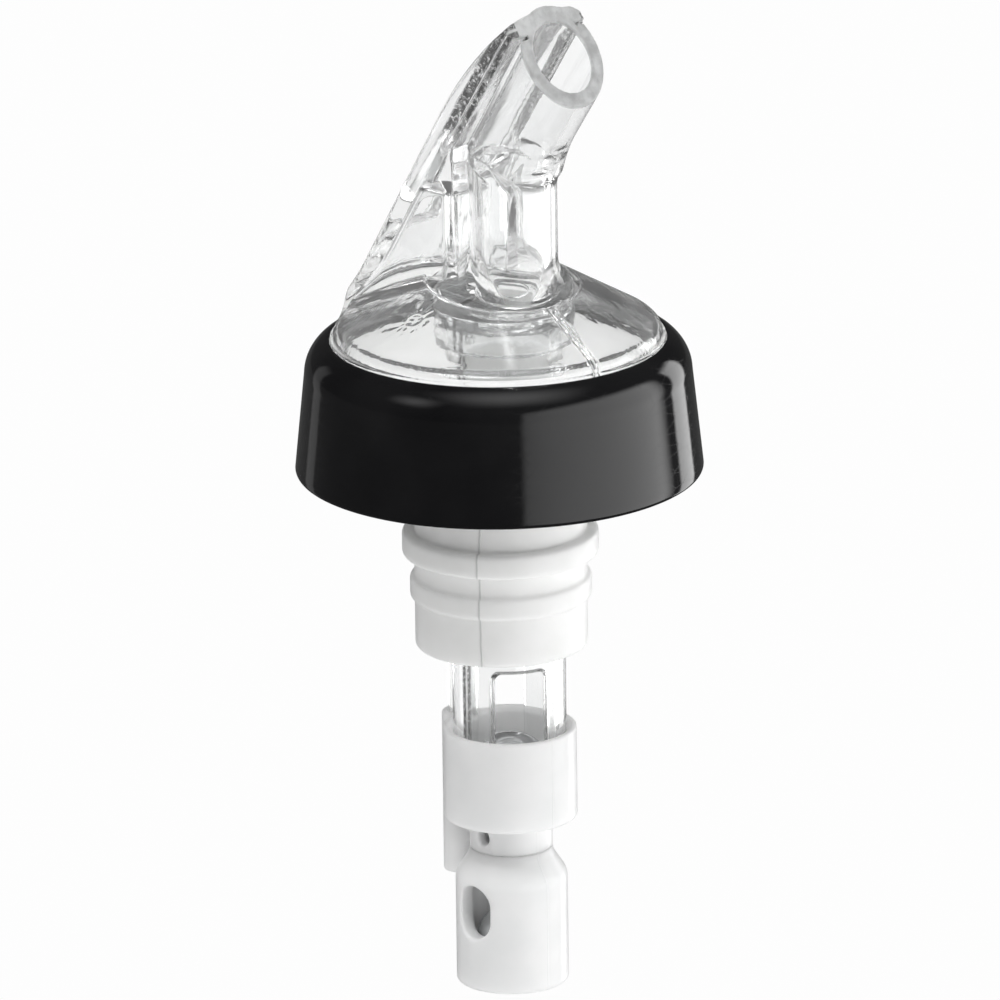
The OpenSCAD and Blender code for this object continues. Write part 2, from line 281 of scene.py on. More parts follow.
def air_space(p):
    """The hollow under the dome and up inside the hood, with its inlet through the hood's back."""
    x, y, z = p
    r = np.hypot(x, y)
    boss = rod(p, TAIL_X, 0, BOSS_R, BOSS_Z, 30)
    # Low rib on the dome's underside, along the parting line
    s, c = turn(PARTING)
    rib = np.maximum(np.abs(y * c - x * s) - 0.3, -x)
    rib = np.maximum(rib, -dome(p, SKIN + 0.5))
    under = cut(cut(dome(p, SKIN), boss, 0.5), rib, 0.3)
    # Air chamber in the hood, from the dome's hollow up to the ledge
    chamber = common(HOOD_WALL + 0.3 - hood_inward(p), np.abs(y) - CHAMBER_W / 2, 1.2)
    chamber = common(chamber, z - HOOD_LEDGE_Z, 0.4)
    chamber = common(chamber, x - (POST_X - POST_R - 0.4), 0.4)
    chamber = np.maximum(chamber, r - DOME_R + SKIN + 0.2)
    chamber = common(chamber, np.minimum(x - (TAIL_X - BOSS_R - 0.15), SEAT_TOP_Z + 2 - z), 0.4)
    under = join(under, np.maximum(chamber, BOSS_Z - z), 0.4)
    return join(under, block(p, AIR_INLET, AIR_INLET_SIZE), 0.2)


def spout_field(p):
    """The clear moulding: post, mitred nozzle, hood, dome, rim and flange, with its ways cut out."""
    x, y, z = p
    _, off = nozzle_axes(p)
    # Fillet of the mitre, larger on the inside of the bend
    bend = 0.2 + 2.6 * np.clip((off - 1.0) / 3.0, 0, 1)
    post = rod(p, POST_X, 0, POST_R, 6, ELBOW_Z + 2)
    ms, mc = turn(NOZZLE_TILT / 2)
    mitre = (x - POST_X) * ms + (z - ELBOW_Z) * mc
    nozzle = common(nozzle_rod(p, NOZZLE_R - 0.15, -3.0, NOZZLE_FLARE), -mitre, 0.1)
    tube = join(post, nozzle, bend)
    behind, groove = hood(p)
    head = cut(join(tube, behind, 0.12), groove, 0.1)
    head = np.maximum(head, COLLAR_TOP_Z - z)
    # Fillet between the head and the dome, larger towards the hood
    fillet = 1.8 + 1.8 * np.clip(-x / 8, 0, 1)
    shell = join(dome(p, 0), head, fillet)
    shell = common(shell, np.hypot(x, y) - DOME_R, 0.3)
    shell = np.maximum(shell, FLANGE_TOP_Z - 0.5 - z)
    rim = rod(p, 0, 0, RIM_R, FLANGE_TOP_Z - 1, RIM_TOP_Z, 0.1)
    flange = rod(p, 0, 0, SPOUT_FLANGE_R, CORK_FLANGE_T, FLANGE_TOP_Z)
    solid = join(np.minimum(shell, rim), flange, 0.2)
    solid = common(solid, face_distance(p), 0.18)
    solid = cut(solid, air_space(p), 0.25)
    socket = rod(p, TAIL_X, 0, HOUSING_R + GAP, BOSS_Z - 2, SEAT_TOP_Z)
    bore = rod(p, POST_X, 0, POST_BORE_R, SEAT_TOP_Z - 1, ELBOW_Z + 1)
    liquid = join(bore, nozzle_rod(p, NOZZLE_BORE_R, -2.25), 0.25)
    solid = cut(solid, liquid, 0.2)
    return cut(solid, socket, 0.2)


def cork_field(p):
    """The ribbed cork, with its flange and the holes for the housing and the breather tube."""
    x, y, z = p
    body = rod(p, 0, 0, CORK_R, -CORK_LEN, 1, 0.4)
    r = np.hypot(x, y)
    for radius, level, half in CORK_RIBS:
        body = join(body, common(r - radius, np.abs(z - level) - half, 0.55), 0.12)
    cork = join(body, rod(p, 0, 0, CORK_FLANGE_R, 0, CORK_FLANGE_T), 0.6)
    cork = cut(cork, rod(p, TAIL_X, 0, HOUSING_R + GAP, -40, 10), 0.2)
    return cut(cork, rod(p, BREATHER_X, 0, BREATHER_R + GAP, -40, 10), 0.1)


def housing_field(p):
    """The clear housing tube with its valve seat and two inlet windows."""
    x, y, z = p
    tube = rod(p, TAIL_X, 0, HOUSING_R, HOUSING_FOOT_Z, SEAT_TOP_Z)
    tube = cut(tube, rod(p, TAIL_X, 0, HOUSING_BORE_R, -60, SEAT_TOP_Z - SEAT_T), 0.2)
    tube = cut(tube, rod(p, TAIL_X, 0, SEAT_HOLE_R, -60, 20), 0.2)
    s, c = turn(INLET_ANGLE)
    across = -(x - TAIL_X) * s + y * c
    window = corner(np.abs(across) - INLET_W / 2, z - INLET_TOP_Z, 0.8)
    return cut(tube, window, 0.3)


def breather_tube_field(p):
    """The thin breather tube."""
    tube = rod(p, BREATHER_X, 0, BREATHER_R, BREATHER_FOOT_Z, BREATHER_TOP_Z, 0.1)
    return cut(tube, rod(p, BREATHER_X, 0, BREATHER_BORE_R, -60, 20), 0.1)


def cup_field(p):
    """The control cup: ring, neck and spigot, with the breather socket and its web."""
    x, y, z = p
    ring = rod(p, TAIL_X, 0, CUP_R, CUP_BOTTOM_Z, CUP_TOP_Z, 0.3)
    neck = rod(p, TAIL_X, 0, NECK_R, CAGE_TOP_Z, CUP_FLOOR_Z, 0.1)
    cup = join(ring, neck, 0.5)
    socket = rod(p, BREATHER_X, 0, SOCKET_R, SOCKET_BOTTOM_Z, CUP_TOP_Z, 0.35)
    relief = rod(p, TAIL_X, 0, CAGE_R + 0.15, SOCKET_BOTTOM_Z - 3, CAGE_TOP_Z - 1)
    socket = cut(socket, relief, 0.15)
    cup = join(cup, socket, 0.5)
    web_x = (BREATHER_X + 1 + TAIL_X - NECK_R + 1) / 2
    cup = join(cup, block(p, (web_x, 0, WEB_Z), WEB_SIZE), 0.4)
    cup = np.minimum(cup, rod(p, TAIL_X, 0, SPIGOT_R, SPIGOT_Z, CAGE_TOP_Z + 1))
    # Socket for the housing with its chamfered lip, bore, neck bore and timing port
    r = np.hypot(x - TAIL_X, y)
    lip = common(r - HOUSING_R - GAP - 0.45 - (z - CUP_TOP_Z), CUP_TOP_Z - 0.6 - z, 0.1)
    cup = cut(cup, rod(p, TAIL_X, 0, HOUSING_R + GAP, HOUSING_FOOT_Z, 0), 0.15)
    cup = cut(cup, lip, 0.15)
    cup = cut(cup, rod(p, TAIL_X, 0, HOUSING_BORE_R, CUP_FLOOR_Z, 0), 0.15)
    cup = cut(cup, rod(p, TAIL_X, 0, NECK_BORE_R, -70, 0), 0.2)
    port = np.maximum(np.hypot(x - TAIL_X, z - PORT_Z) - PORT_R, y)
    cup = cut(cup, port, 0.35)
    # Breather: socket and ball chamber, then the outlet
    cup = cut(cup, rod(p, BREATHER_X, 0, BREATHER_R + GAP, BREATHER_SEAT_Z, 0), 0.15)
    return cut(cup, rod(p, BREATHER_X, 0, OUTLET_R, -70, 0), 0.15)


def cage_field(p):
    """The ball cage: a cup with a cone, two oval windows and a drain."""
    x, y, z = p
    r = np.hypot(x - TAIL_X, y)
    lean = math.atan2(CAGE_R - NECK_R, CONE_TOP_Z - CONE_BOTTOM_Z)
    cone = (r - NECK_R) * math.cos(lean) + (z - CONE_TOP_Z) * math.sin(lean)
    cage = common(rod(p, TAIL_X, 0, CAGE_R, CAGE_BOTTOM_Z, CAGE_TOP_Z, 0.45), cone, 0.4)
    cage = join(cage, rod(p, TAIL_X, 0, NECK_R, CONE_BOTTOM_Z, CAGE_TOP_Z, 0.12), 0.4)
    cage = cut(cage, rod(p, TAIL_X, 0, SPIGOT_R + GAP, SPIGOT_Z, 0, 0.05), 0.1)
    cage = cut(cage, rod(p, TAIL_X, 0, CAGE_BORE_R, CAGE_FLOOR_Z, SPIGOT_Z), 0.15)
    cage = cut(cage, rod(p, TAIL_X, 0, DRAIN_R, -80, -60), 0.2)
    window = np.hypot(x - TAIL_X, np.maximum(np.abs(z - WINDOW_Z) - WINDOW_RISE, 0)) - WINDOW_R
    return cut(cage, window, 0.3)


# ---------------------------------------------------------------- pieces

def lathe(name, profile, segments):
    """Revolves a closed profile of (radius, height) points, in mm, about the Z axis."""
    angles = 2 * np.pi * np.arange(segments) / segments
    profile = np.array(profile)
    r, z = profile[:, 0], profile[:, 1]
    co = np.stack([np.outer(np.cos(angles), r), np.outer(np.sin(angles), r),
                   np.broadcast_to(z, (segments, len(z)))], 2).reshape(-1, 3)
    count = len(profile)
    i = np.arange(segments)[:, None] * count
    j = np.arange(count)[None, :]
    i2 = (i + count) % (segments * count)
    j2 = (j + 1) % count
    faces = np.stack([i + j, i2 + j, i2 + j2, i + j2], 2).reshape(-1, 4)
    return make_mesh(name, co * MM, faces)


def arc(cx, cz, radius, start, end, steps):
    """Points along an arc of a profile, from start to end degrees."""
    return [(cx + radius * math.cos(math.radians(start + (end - start) * i / steps)),
             cz + radius * math.sin(math.radians(start + (end - start) * i / steps)))
            for i in range(steps + 1)]


def line(a, b, steps):
    """Points from a up to b, without b itself."""
    return [(a[0] + (b[0] - a[0]) * i / steps, a[1] + (b[1] - a[1]) * i / steps)
            for i in range(steps)]


def collar_profile():
    """The collar's section: rounded lower rim, leaning side, shoulder, hole and inside."""
    rim = 0.5
    inner_top = COLLAR_SIDE_R - COLLAR_WALL
    inner_low = COLLAR_R - COLLAR_WALL
    ceiling = FLANGE_TOP_Z
    points = arc(inner_low + rim, COLLAR_BOTTOM_Z + rim, rim, 180, 270, 8)
    points += arc(COLLAR_R - rim, COLLAR_BOTTOM_Z + rim, rim, 270, 360, 8)
    shoulder = arc(COLLAR_SIDE_R - SHOULDER_R, COLLAR_TOP_Z - SHOULDER_R, SHOULDER_R, 2, 66, 30)
    points += line(points[-1], shoulder[0], 16)[1:]
    points += shoulder
    points += arc(COLLAR_HOLE_R + 0.1, points[-1][1] - 0.12, 0.1, 66, 180, 6)
    points += [(COLLAR_HOLE_R, ceiling + 0.1), (COLLAR_HOLE_R + 0.1, ceiling)]
    points += arc(inner_top - 0.2, ceiling - 0.3, 0.2, 90, 0, 6)
    return points


def piece(obj, node, material):
    """Gives a mesh its material and puts it in its CAD node's place."""
    obj.data.materials.append(material)
    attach(obj, BODY)
    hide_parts(node)
    return obj


# ---------------------------------------------------------------- materials

CLEAR_IOR = 1.57


class Graph:
    """A small helper that builds one material's node tree."""

    def __init__(self, name):
        self.material = bpy.data.materials.new(name)
        self.material.use_nodes = True
        self.tree = self.material.node_tree
        self.tree.nodes.clear()

    def add(self, kind, inputs=None, **settings):
        """A new shader node; inputs are values, or sockets to link from."""
        node = self.tree.nodes.new("ShaderNode" + kind)
        for key, value in settings.items():
            setattr(node, key, value)
        for key, value in (inputs or {}).items():
            if isinstance(value, bpy.types.NodeSocket):
                self.tree.links.new(value, node.inputs[key])
            else:
                node.inputs[key].default_value = value
        return node

    def place(self):
        """Object coordinates, in metres: the part's own frame at rest."""
        return self.add("TexCoord").outputs["Object"]

    def maths(self, operation, a, b=0.0, c=0.0):
        """The result of one maths node."""
        return self.add("Math", {0: a, 1: b, 2: c}, operation=operation).outputs[0]

    def span(self, value, low, high, to_low=0.0, to_high=1.0):
        """Maps low..high to to_low..to_high, clamped, with smooth ends."""
        inputs = {"Value": value, "From Min": low, "From Max": high, "To Min": to_low, "To Max": to_high}
        return self.add("MapRange", inputs, interpolation_type="SMOOTHSTEP").outputs[0]

    def noise(self, scale, detail=2.0, stretch=(1, 1, 1), rough=0.5):
        """Noise with scale in cells per metre; stretch multiplies it along each axis."""
        place = self.add("Mapping", {"Vector": self.place(), "Scale": stretch}).outputs[0]
        inputs = {"Vector": place, "Scale": scale, "Detail": detail, "Roughness": rough}
        return self.add("TexNoise", inputs).outputs[0]

    def scratches(self, scale, width, stretch):
        """Thin lines, 1 on a scratch: the edges of stretched, wandering cells."""
        place = self.add("Mapping", {"Vector": self.place(), "Scale": stretch}).outputs[0]
        cells = self.add("TexVoronoi", {"Vector": place, "Scale": scale}, feature="DISTANCE_TO_EDGE")
        return self.span(cells.outputs[0], 0.0, width, 1.0, 0.0)

    def seam(self, azimuth, centre_x, width, wobble=0.0):
        """1 on the mould line that runs up a round piece at this azimuth from +X."""
        s, c = turn(azimuth)
        place = self.vector("SUBTRACT", self.place(), (centre_x * MM, 0, 0))
        across = self.vector("DOT_PRODUCT", place, (-s, c, 0), "Value")
        ahead = self.vector("DOT_PRODUCT", place, (c, s, 0), "Value")
        stray = self.maths("MULTIPLY_ADD", self.noise(180, 3), wobble * 2 * MM, -wobble * MM)
        off = self.maths("ABSOLUTE", self.maths("ADD", across, stray))
        mark = self.span(off, width * 0.2 * MM, width * MM, 1.0, 0.0)
        return self.maths("MULTIPLY", mark, self.maths("GREATER_THAN", ahead, 0.0))

    def bump(self, height, distance, strength=1.0, normal=None):
        """A normal bent by height, which stands distance metres high at 1."""
        inputs = {"Height": height, "Distance": distance, "Strength": strength}
        if normal is not None:
            inputs["Normal"] = normal
        return self.add("Bump", inputs).outputs[0]

    def mix(self, factor, a, b):
        """A colour, or a grey level, between a and b."""
        a, b = (v if isinstance(v, (tuple, bpy.types.NodeSocket)) else (v, v, v, 1) for v in (a, b))
        return self.add("MixRGB", {0: factor, 1: a, 2: b}).outputs[0]

    def blend(self, factor, a, b):
        """A surface that goes from a to b."""
        return self.add("MixShader", {0: factor, 1: a, 2: b}).outputs[0]

    def vector(self, operation, a, b, output=0):
        """The result of one vector maths node."""
        return self.add("VectorMath", {0: a, 1: b}, operation=operation).outputs[output]

    def plastic(self, colour, ior, rough, normal, **more):
        """A moulded surface; more holds further inputs, such as Subsurface_Weight."""
        inputs = {"Base Color": colour, "IOR": ior, "Roughness": rough, "Normal": normal}
        inputs.update((key.replace("_", " "), value) for key, value in more.items())
        return self.add("BsdfPrincipled", inputs).outputs[0]

    def finish(self, surface):
        """Closes the tree with this surface and gives the material."""
        self.add("OutputMaterial", {"Surface": surface})
        return self.material


def distance_to_plane(g, point, normal):
    """Signed distance, in metres, of the shaded point in front of a plane given in mm."""
    offset = g.vector("SUBTRACT", g.place(), tuple(v * MM for v in point))
    return g.vector("DOT_PRODUCT", offset, normal, "Value")


def eroded_grit_and_painted_shade(g):
    """Dark pits among bright grains on a clear moulding: spark erosion on the flutes' floors, and painted
    shade where it marks the groove before the hood and the streak up the housing.
    """
    grit_and_shade = g.mix(g.span(g.noise(2300, 4, rough=0.8), 0.52, 0.62), 0.03, 0.85)
    spark = g.bump(g.noise(4200, 3, rough=0.7), 0.00012, 1.0)
    return g.plastic(grit_and_shade, CLEAR_IOR, 0.22, spark, Transmission_Weight=0.7)


def flute_and_groove_shadow_mask(g):
    """1 on the eroded floors of the flutes along the hood's sides, and on a painted shadow line in the
    groove before it.
    """
    ns, nc = turn(NOZZLE_TILT)
    off = distance_to_plane(g, (POST_X, 0, ELBOW_Z), (nc, 0, -ns))
    split = g.add("SeparateXYZ", {0: g.place()}).outputs
    beside = g.maths("ABSOLUTE", split["Y"])
    total = None
    lines = [flute + (FLUTE_FLOOR_Y,) for flute in FLUTES] + [(GROOVE_SHADOW_OFF, GROOVE_SHADOW_WIDTH, GROOVE_FLOOR_Y)]
    for at, width, depth in lines:
        near = g.maths("ABSOLUTE", g.maths("SUBTRACT", off, at * MM))
        mark = g.span(near, width * 0.8 * MM, width * 1.2 * MM, 1.0, 0.0)
        mark = g.maths("MULTIPLY", mark, g.span(beside, (depth - 0.1) * MM, (depth + 0.1) * MM))
        total = mark if total is None else g.maths("MAXIMUM", total, mark)
    high = g.span(split["Z"], (FLUTE_END_Z + 1) * MM, (FLUTE_END_Z + 4) * MM)
    back = g.span(g.noise(700, 3), 0.2, 0.5)
    return g.maths("MULTIPLY", g.maths("MULTIPLY", total, high), back)


def gate_mark(g):
    """The gate's small raised disc on the dome's side, with flow lines that fan out from it."""
    away = g.vector("SUBTRACT", g.place(), tuple(v * MM for v in GATE))
    far = g.add("VectorMath", {0: away}, operation="LENGTH").outputs["Value"]
    way = g.add("VectorMath", {0: away}, operation="NORMALIZE").outputs[0]
    fan = g.add("TexNoise", {"Vector": way, "Scale": 3.4, "Detail": 0.0}).outputs[0]
    fade = g.maths("MULTIPLY", g.span(far, 1.0 * MM, 1.5 * MM), g.span(far, 2.0 * MM, 6.0 * MM, 1.0, 0.0))
    disc = g.span(far, 0.7 * MM, 1.0 * MM, 0.5, 0.0)
    return g.maths("ADD", disc, g.maths("MULTIPLY", g.maths("MULTIPLY", fan, 0.5), fade))


def clear_plastic(name, frosted=False):
    """Polished clear styrene with faint flow lines; frosted where the nozzle was cut, with a painted
    shadow line in the groove before the hood; elsewhere a painted dark streak up one side.
    """
    g = Graph(name)
    flow = g.noise(260, 3, (1, 1, 0.25))
    fine = g.noise(2600, 2)
    scratch = g.scratches(420, 0.035, (1, 1, 0.3))
    rough = g.maths("ADD", g.span(fine, 0.3, 0.8, 0.012, 0.04), g.maths("MULTIPLY", scratch, 0.05))
    normal = g.bump(flow, 0.00012, 0.5)
    normal = g.bump(fine, 0.000006, 0.4, normal)
    if frosted:
        normal = g.bump(gate_mark(g), 0.0001, 0.8, normal)
    body = g.plastic((0.985, 0.99, 0.99, 1), CLEAR_IOR, rough, normal, Transmission_Weight=1.0)
    if frosted:
        s, c = turn(FACE_TILT)
        ns, nc = turn(NOZZLE_TILT)
        centre = (POST_X + NOZZLE_LEN * ns, 0, ELBOW_Z + NOZZLE_LEN * nc)
        # Frost on the cut face and on a narrow ragged band behind it
        depth = distance_to_plane(g, centre, (c, 0, s))
        ragged = g.noise(1500, 3)
        edge = g.maths("ADD", depth, g.maths("MULTIPLY", ragged, 0.00016))
        mask = g.span(edge, -0.00036, -0.0002)
        grain = g.bump(g.noise(5200, 4, rough=0.7), 0.00005, 0.8)
        patches = g.span(g.noise(900, 4), 0.3, 0.7)
        shade = g.mix(patches, (0.38, 0.385, 0.385, 1), (0.60, 0.61, 0.61, 1))
        frost = g.plastic(shade, CLEAR_IOR, 0.5, grain, Transmission_Weight=0.6)
        body = g.blend(mask, body, frost)
        # Eroded grit on the flutes' floors, and painted shadow: a dark line in the groove before the
        # hood.
        body = g.blend(flute_and_groove_shadow_mask(g), body, eroded_grit_and_painted_shade(g))
    else:
        # Painted shade: a dark streak up the housing's front-left side, standing in for the dark
        # refraction of the breather tube behind it.
        shade_streak = g.maths("MULTIPLY", g.seam(-97, TAIL_X, 0.42, 0.05), g.span(fine, 0.2, 0.4))
        body = g.blend(shade_streak, body, eroded_grit_and_painted_shade(g))
    haze = g.add("BsdfDiffuse", {"Color": (0.9, 0.9, 0.9, 1), "Normal": normal}).outputs[0]
    body = g.blend(g.span(g.noise(200, 4), 0.3, 0.7, 0.01, 0.035), body, haze)
    # Shadow and diffuse rays go straight through, so the clear pieces cast hardly any shadow
    path = g.add("LightPath").outputs
    soft = g.maths("MAXIMUM", path["Is Shadow Ray"], path["Is Diffuse Ray"])
    through = g.add("BsdfTransparent", {"Color": (0.97, 0.97, 0.97, 1)}).outputs[0]
    return g.finish(g.blend(soft, body, through))


def black_plastic():
    """Polished black moulding: a little orange peel, dust and hairline scratches."""
    g = Graph("black_plastic")
    peel = g.noise(420, 2)
    dust = g.noise(5000, 3, rough=0.6)
    scratch = g.scratches(230, 0.012, (1, 1, 3.5))
    rough = g.maths("ADD", g.span(dust, 0.35, 0.75, 0.05, 0.11), g.maths("MULTIPLY", scratch, 0.18))
    normal = g.bump(peel, 0.00003, 0.25)
    normal = g.bump(scratch, 0.000004, 0.35, normal)
    cloud = g.span(g.noise(90, 3), 0.3, 0.7)
    colour = g.mix(cloud, (0.0035, 0.0035, 0.004, 1), (0.007, 0.007, 0.0075, 1))
    return g.finish(g.plastic(colour, 1.52, rough, normal))


def milky_body(g, colour, rough, normal, reach):
    """A plastic that light enters and leaves again up to about reach away."""
    return g.plastic(colour, 1.5, rough, normal, Subsurface_Weight=1.0,
                     Subsurface_Radius=(1.0, 1.0, 1.0), Subsurface_Scale=reach)


def cork_plastic():
    """Natural polyethylene: milky and satin, cloudy inside, with fine moulding lines round the body."""
    g = Graph("cork_plastic")
    cloud = g.noise(110, 3)
    rings = g.noise(700, 2, (0.06, 0.06, 1.0))
    fine = g.noise(3200, 3, rough=0.65)
    scratch = g.scratches(260, 0.02, (1, 1, 0.35))
    colour = g.mix(g.span(cloud, 0.3, 0.7), (0.86, 0.865, 0.855, 1), (0.93, 0.93, 0.925, 1))
    seam = g.seam(-59, 0, 0.17, 0.25)
    colour = g.mix(g.maths("MULTIPLY", seam, 0.45), colour, (0.45, 0.46, 0.46, 1))
    rough = g.maths("ADD", g.span(fine, 0.3, 0.8, 0.30, 0.44), g.maths("MULTIPLY", scratch, 0.06))
    normal = g.bump(seam, 0.00012, 0.8)
    normal = g.bump(rings, 0.00005, 0.35, normal)
    normal = g.bump(fine, 0.000018, 0.5, normal)
    normal = g.bump(scratch, 0.00001, 0.3, normal)
    return g.finish(milky_body(g, colour, rough, normal, 1.0 * MM))


def white_plastic():
    """White satin moulding with faint flow lines."""
    g = Graph("white_plastic")
    cloud = g.noise(150, 3)
    fine = g.noise(3000, 3, rough=0.6)
    flow = g.noise(300, 2, (1, 1, 0.3))
    colour = g.mix(g.span(cloud, 0.3, 0.7), (0.79, 0.795, 0.795, 1), (0.84, 0.84, 0.84, 1))
    seam = g.maths("MAXIMUM", g.seam(-6, TAIL_X, 0.12, 0.1), g.seam(174, TAIL_X, 0.12, 0.1))
    rough = g.span(fine, 0.3, 0.8, 0.28, 0.34)
    normal = g.bump(seam, 0.00008, 0.5)
    normal = g.bump(flow, 0.00003, 0.3, normal)
    normal = g.bump(fine, 0.000003, 0.3, normal)
    return g.finish(milky_body(g, colour, rough, normal, 1.8 * MM))


def ball_steel():
    """Polished steel with lapping marks."""
    g = Graph("ball_steel")
    lap = g.scratches(900, 0.03, (1, 0.25, 1))
    haze = g.noise(900, 3)
    rough = g.maths("ADD", g.span(haze, 0.3, 0.7, 0.06, 0.14), g.maths("MULTIPLY", lap, 0.1))
    normal = g.bump(lap, 0.000003, 0.4)
    inputs = {"Base Color": (0.70, 0.71, 0.72, 1), "Metallic": 0.6, "Roughness": rough, "Normal": normal}
    return g.finish(g.add("BsdfPrincipled", inputs).outputs[0])


# ---------------------------------------------------------------- the object

STEP = 0.22
clear = clear_plastic("clear_plastic")
clear_spout = clear_plastic("clear_plastic_cut", frosted=True)
black = black_plastic()
milky = cork_plastic()
white = white_plastic()
steel = ball_steel()

piece(mesh_field("spout_moulding", spout_field, (-20, -20, 1.2), (20, 20, 45.2), STEP),
      "spout_body", clear_spout)
piece(mesh_field("ribbed_cork", cork_field, (-19.4, -19.4, -30.2), (19.4, 19.4, 3.6), STEP * 1.15),
      "cork", milky)
piece(mesh_field("housing_tube", housing_field, (-6.0, -7.2, -43.5), (8.2, 7.2, 9.0), STEP),
      "tail_housing", clear)
piece(mesh_field("breather_pipe", breather_tube_field, (-8.3, -1.6, -44.6), (-5.2, 1.6, 4.2), STEP * 0.8),
      "breather_tube", clear)
piece(mesh_field("ball_cup", cup_field, (-9.2, -7.8, -57.6), (9.0, 7.8, -38.2), STEP * 0.9),
      "control_cup", white)
piece(mesh_field("check_cage", cage_field, (-5.7, -6.7, -68.3), (7.8, 6.7, -51.8), STEP * 0.9),
      "ball_cage", white)
piece(lathe("collar_bell", collar_profile(), 360), "collar", black)

for node in ("timing_ball", "check_ball", "breather_ball"):
    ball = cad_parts[node]
    ball.data.materials.clear()
    ball.data.materials.append(steel)

# ---------------------------------------------------------------- floor, light and camera

TARGET = Vector((0, 0, -0.0134))
VIEW_AZIMUTH, VIEW_ELEVATION, VIEW_ROLL = 45.0, 17.8, 0.75
VIEW_DISTANCE = 2.0
FRAME_WIDTH = 0.108
FLOOR_DROP = 0.24
ROOM_LIGHT = 0.53
STAGE_WHITE = 0.985


def direction(azimuth, elevation):
    """Unit vector from the object; azimuth 0 is -Y and 90 is +X, as the camera's own."""
    s, c = turn(azimuth)
    up, flat = turn(elevation)
    return Vector((s * flat, -c * flat, up))


def softbox(name, azimuth, elevation, distance, width, height, power, soft=0.15, lean=0.0, sharp=1.0):
    """An area lamp that fades over the share soft of each side; lean makes one side brighter.

    sharp scales the fade of the side that lies towards lower azimuths.
    """
    data = bpy.data.lights.new(name, "AREA")
    data.shape = "RECTANGLE"
    data.size, data.size_y = width, height
    data.energy = power
    data.use_nodes = True
    tree = data.node_tree
    tree.nodes.clear()
    where = tree.nodes.new("ShaderNodeNewGeometry")
    split = tree.nodes.new("ShaderNodeSeparateXYZ")
    tree.links.new(where.outputs["Parametric"], split.inputs[0])
    level = None
    for axis in (0, 1):
        for start, end in ((0.0, soft * (1.0 if axis else sharp)), (1.0, 1.0 - soft)):
            fade = tree.nodes.new("ShaderNodeMapRange")
            fade.interpolation_type = "SMOOTHSTEP"
            fade.inputs["From Min"].default_value = start
            fade.inputs["From Max"].default_value = end
            tree.links.new(split.outputs[axis], fade.inputs["Value"])
            level = product(tree, level, fade.outputs[0])
    slope_range = tree.nodes.new("ShaderNodeMapRange")
    slope_range.inputs["To Min"].default_value = 1.0 - lean
    slope_range.inputs["To Max"].default_value = 1.0 + lean
    tree.links.new(split.outputs[0], slope_range.inputs["Value"])
    level = product(tree, level, slope_range.outputs[0])
    glow = tree.nodes.new("ShaderNodeEmission")
    tree.links.new(level, glow.inputs["Strength"])
    out = tree.nodes.new("ShaderNodeOutputLight")
    tree.links.new(glow.outputs[0], out.inputs[0])
    lamp = bpy.data.objects.new(name, data)
    way = direction(azimuth, elevation)
    lamp.location = TARGET + way * distance
    lamp.rotation_euler = way.to_track_quat("Z", "Y").to_euler()
    lamp.visible_camera = False
    bpy.context.scene.collection.objects.link(lamp)
    return lamp


def product(tree, a, b):
    """Multiplies two values in a node tree; a may be missing."""
    if a is None:
        return b
    node = tree.nodes.new("ShaderNodeMath")
    node.operation = "MULTIPLY"
    tree.links.new(a, node.inputs[0])
    tree.links.new(b, node.inputs[1])
    return node.outputs[0]


def floor():
    """A pale floor: white where it is seen directly, dimmer far out and in mirror reflections, and with
    painted shade near the object where it is seen through the clear pieces.
    """
    g = Graph("floor")
    path = g.add("LightPath").outputs
    pale = g.mix(g.noise(6, 3), 0.90, 0.93)
    matt = g.add("BsdfPrincipled", {"Base Color": pale, "Roughness": 0.8}).outputs[0]
    radius = g.add("VectorMath", {0: g.place()}, operation="LENGTH").outputs["Value"]
    # Painted shade: seen through the clear pieces, the floor is dimmer close to the object.
    near = g.span(radius, 0.22, 0.42, 0.62, 0.95)
    far = g.span(radius, 1.2, 2.6, 1.0, 0.35)
    levels = (("Is Glossy Ray", 0.09), ("Is Transmission Ray", g.maths("MULTIPLY", near, far)),
              ("Is Camera Ray", STAGE_WHITE))
    surface = matt
    for ray, level in levels:
        glow = g.add("Emission", {"Color": (1, 1, 1, 1), "Strength": level}).outputs[0]
        surface = g.blend(path[ray], surface, glow)
    material = g.finish(surface)
    material.cycles.emission_sampling = "NONE"
    mesh = bpy.data.meshes.new("floor")
    half = 6.0
    z = TARGET.z - FLOOR_DROP
    corners = [(-half, -half, z), (half, -half, z), (half, half, z), (-half, half, z)]
    mesh.from_pydata(corners, [], [(0, 1, 2, 3)])
    mesh.materials.append(material)
    obj = bpy.data.objects.new("floor", mesh)
    bpy.context.scene.collection.objects.link(obj)


def surroundings():
    """A pale room that lights the object softly; mirror reflections and refractions see it dimmer."""
    world = bpy.data.worlds.new("room")
    world.use_nodes = True
    tree = world.node_tree
    tree.nodes.clear()
    path = tree.nodes.new("ShaderNodeLightPath")
    level = None
    levels = (("Is Glossy Ray", 0.048), ("Is Transmission Ray", 0.112), ("Is Camera Ray", STAGE_WHITE))
    for ray, strength in levels:
        mix = tree.nodes.new("ShaderNodeMapRange")
        tree.links.new(path.outputs[ray], mix.inputs["Value"])
        mix.inputs["To Max"].default_value = strength
        if level is None:
            mix.inputs["To Min"].default_value = ROOM_LIGHT
        else:
            tree.links.new(level, mix.inputs["To Min"])
        level = mix.outputs[0]
    background = tree.nodes.new("ShaderNodeBackground")
    background.inputs["Color"].default_value = (1, 1, 1, 1)
    tree.links.new(level, background.inputs["Strength"])
    out = tree.nodes.new("ShaderNodeOutputWorld")
    tree.links.new(background.outputs[0], out.inputs["Surface"])
    bpy.context.scene.world = world


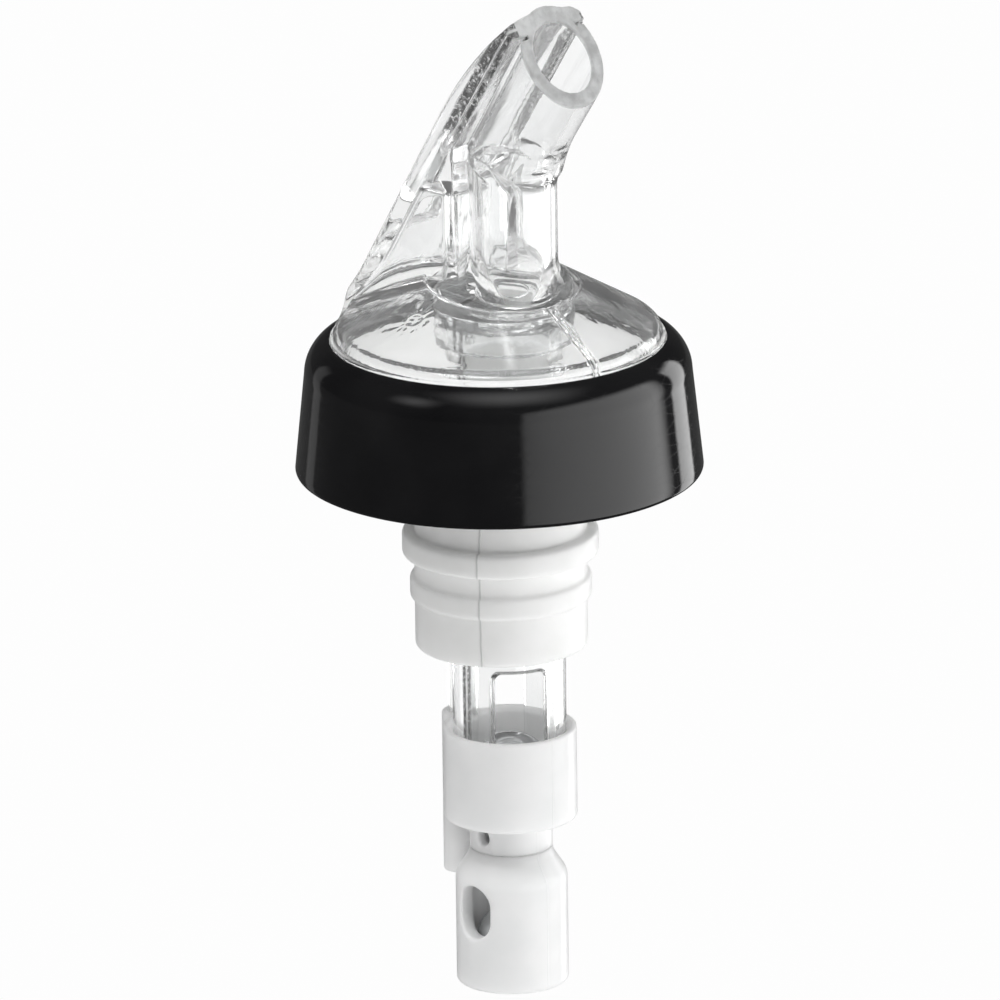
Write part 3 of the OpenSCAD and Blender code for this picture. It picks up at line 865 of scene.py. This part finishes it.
def camera():
    """The camera, above the object's middle and slightly rolled."""
    data = bpy.data.cameras.new("camera")
    data.sensor_width = 36.0
    data.lens = 36.0 * VIEW_DISTANCE / FRAME_WIDTH
    data.clip_start, data.clip_end = 0.05, 50.0
    obj = bpy.data.objects.new("camera", data)
    way = direction(VIEW_AZIMUTH, VIEW_ELEVATION)
    obj.location = TARGET + way * VIEW_DISTANCE
    roll = Quaternion(way, math.radians(-VIEW_ROLL))
    obj.rotation_euler = (roll @ way.to_track_quat("Z", "Y")).to_euler()
    bpy.context.scene.collection.objects.link(obj)
    bpy.context.scene.camera = obj


floor()
surroundings()
camera()
key = softbox("key_right", VIEW_AZIMUTH + 63, -2, 0.45, 1.15, 0.85, 5.6, soft=0.2, lean=0.6, sharp=0.4)
key.visible_diffuse = False
side = softbox("key_fill", VIEW_AZIMUTH + 63, -8, 0.45, 0.86, 0.62, 2.2, soft=0.22, lean=0.45)
side.visible_glossy = False
side.visible_transmission = False
softbox("edge_right", VIEW_AZIMUTH + 130, -6, 0.45, 0.17, 0.62, 0.85, soft=0.15)
softbox("edge_left", VIEW_AZIMUTH - 133, -6, 0.5, 0.12, 0.62, 0.06, soft=0.2)
softbox("front_left", VIEW_AZIMUTH - 60, 42, 0.8, 0.5, 0.5, 0.8, soft=0.5)
softbox("top", VIEW_AZIMUTH + 15, 72, 0.5, 0.7, 0.6, 1.7, soft=0.5)
fill = softbox("top_fill", VIEW_AZIMUTH - 40, 68, 0.6, 0.5, 0.5, 9.0, soft=0.5)
fill.visible_glossy = False
low = softbox("low_fill", VIEW_AZIMUTH - 25, -38, 0.5, 0.6, 0.4, 1.7, soft=0.5)
low.visible_glossy = False
low.visible_transmission = False

scene = bpy.context.scene
scene.view_settings.view_transform = "Standard"
scene.cycles.max_bounces = 28
scene.cycles.transmission_bounces = 28
scene.cycles.transparent_max_bounces = 24
scene.cycles.glossy_bounces = 8
scene.cycles.diffuse_bounces = 4
scene.cycles.caustics_reflective = False
scene.cycles.caustics_refractive = False
scene.cycles.sample_clamp_indirect = 6.0
